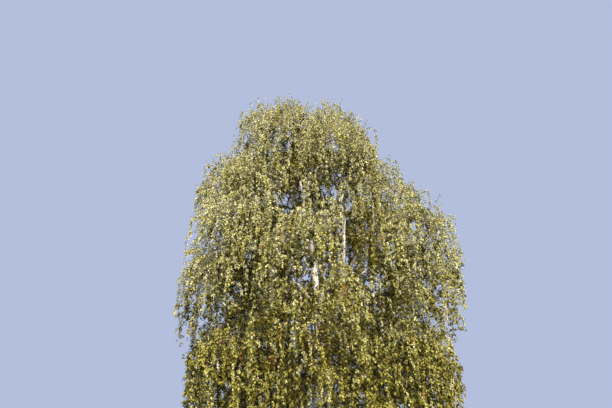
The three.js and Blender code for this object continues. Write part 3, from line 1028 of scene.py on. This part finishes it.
def tier_of(mass):
    """The name of a mass's tier; the two masses at the top go with the highest."""
    return TIERS[min(mass.level, len(TIERS) - 1)].name


def wood_points(girth):
    """The most points that the wood of a line keeps, by how thick it starts."""
    if girth[0] <= STRAND_RADIUS[0]:
        return WOOD_POINTS.strand
    return WOOD_POINTS.shoot if girth[0] <= SHOOT_RADIUS[0] else WOOD_POINTS.twig


set_stage()
masses = mass_plans()
for mass in masses:
    mass.bough = None if mass.leader else bough_plan(mass)
    mass.stem = stem_handles(mass)
foliage_nodes = [f"foliage_{mass.name}" for mass in masses]

bark = birch_bark()
starts = [mass.bough.handles[:2] for mass in masses if mass.bough]
exits = [start + (bend - start) * SCAR.along for start, bend in starts]
rough = SimpleNamespace(coarse=relief(11, 26, 0.5, 0.08), fine=relief(12, 30, 0.12, 0.02))
shape = limb(trunk_handles(), trunk_radius(rough), sides=80, rings=300, reference=BACK, spread=1.25)
bark_piece("trunk_bark", shape, scars_near(shape[0], exits, *SCAR.on_trunk), bark, "trunk")
for seed, leader in ((21, LEFT_LEADER), (31, RIGHT_LEADER)):
    rough = SimpleNamespace(coarse=relief(seed, 22, 1.1, 0.12), fine=relief(seed + 1, 30, 0.1, 0.02))
    radius = leader_radius(leader.root, leader.tip, rough)
    shape = limb(leader.handles, radius, sides=32, rings=260, reference=BACK)
    bark_piece(leader.name + "_bark", shape, scars_near(shape[0], exits, *SCAR.on_leader), bark, leader.name)

parts = []
for number, mass in enumerate(masses):
    uneven = relief(50 + number, 14, 0.9, 0.1)
    rough = SimpleNamespace(coarse=uneven, fine=uneven)
    stem_root, reference = STEM.top_root, BACK
    if mass.bough:
        radius = bough_radius(mass.bough.root, mass.bough.tip, rough)
        parts.append(limb(mass.bough.handles, radius, sides=14, rings=34, reference=UP))
        stem_root, reference = mass.bough.tip, UP
    radius = leader_radius(stem_root, STEM.tip, rough)
    parts.append(limb(mass.stem, radius, sides=8, rings=14, reference=reference))
shape = joined(parts)
scar = np.exp(-shape[2][:, 2] / SCAR.fade) * (shape[3] > SCAR.thinnest)
bark_piece("boughs_bark", shape, scar, bark, *[f"bough_{mass.name}" for mass in masses if mass.bough])

wood = wood_recipe()
leaves = leaf_recipe()
brown = twig_wood()
by_tone = {tone: [] for tone in range(len(TONES))}
by_tier = {}
chance = np.random.default_rng(99)
for number, mass in enumerate(masses):
    growth = grow_mass(mass, np.random.default_rng(7000 + number))
    lines, girths = by_tier.setdefault(tier_of(mass), ([], []))
    for line, girth, leafy, tone in zip(growth.lines, growth.girths, growth.leafy, growth.tones):
        if girth[0] > BARE:
            some = np.round(np.linspace(0, len(line) - 1, min(len(line), wood_points(girth)))).astype(int)
            lines.append(line[some])
            girths.append(girth[some])
        if leafy:
            for first in range(0, len(line) - 1, RUN):
                run = line[first : first + RUN + 1]
                own = tone if chance.random() < KEPT_RUN_TONE else pick_tone(chance, mass, run[0])
                own = TONES.index("rust") if in_tuft(run[0]) else own
                by_tone[own].append(run)

for tier, (lines, girths) in by_tier.items():
    mesh = wood.run(f"twigs_{tier}", lines_mesh(tier, lines, girths), Sides=3, Finish=brown)
    mesh.polygons.foreach_set("use_smooth", np.ones(len(mesh.polygons), bool))
    nodes = [f"foliage_{mass.name}" for mass in masses if tier_of(mass) == tier]
    placed(f"twigs_{tier}", mesh, "bark", *nodes)

for number, tone in enumerate(TONES):
    lines = by_tone[number]
    girths = [np.ones(len(line)) for line in lines]
    spray = spray_of_leaves(f"spray_{tone}", 300 + number)
    most = DARK_SIZE if tone in DARK_TONES else 1.0
    smallest, largest = (size * most for size in SPRAY_SIZES)
    sizes = {"Step": SPRAY_STEP * most**0.5, "Smallest": smallest, "Largest": largest, "Seed": number}
    lines = lines_mesh(tone, lines, girths)
    mesh = leaves.run(f"leaves_{tone}", lines, Spray=spray, Finish=leaf_finish(tone), **sizes)
    placed(f"leaves_{tone}", mesh, "foliage", *foliage_nodes)
    bpy.data.objects.remove(spray)

for mesh in [m for m in bpy.data.meshes if not m.users]:
    bpy.data.meshes.remove(mesh)
for recipe in (wood, leaves):
    bpy.data.node_groups.remove(recipe.tree)
